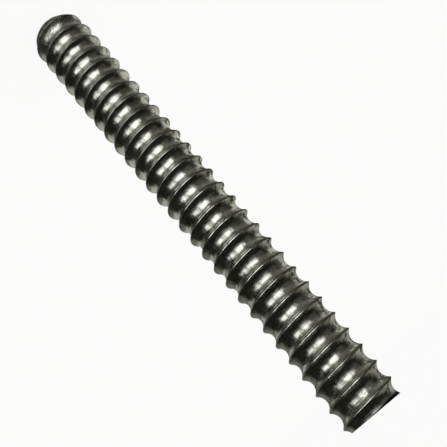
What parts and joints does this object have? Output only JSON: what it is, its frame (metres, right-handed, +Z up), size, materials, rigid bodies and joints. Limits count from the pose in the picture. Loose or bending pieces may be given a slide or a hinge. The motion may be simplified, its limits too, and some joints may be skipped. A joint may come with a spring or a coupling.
{
  "type": "coil-threaded rod",
  "caption": "Straight steel rod with a coarse, round-bottomed coil thread along its whole length, cut square at one end and chamfered at the other for easy starting.",
  "frame": {"origin": "centre of the lead-in end's flat face, which the rod stands on", "axes": "+Z up along the rod's axis to the square-cut end; -Y is the front, where the first crest lies 3.3 mm below the square-cut end"},
  "size_m": [0.019, 0.019, 0.1595],
  "materials": {
    "steel": "cold-rolled bright steel with an oil film"
  },
  "bodies": {
    "root": {"threaded_rod": "steel"}
  },
  "joints": []
}
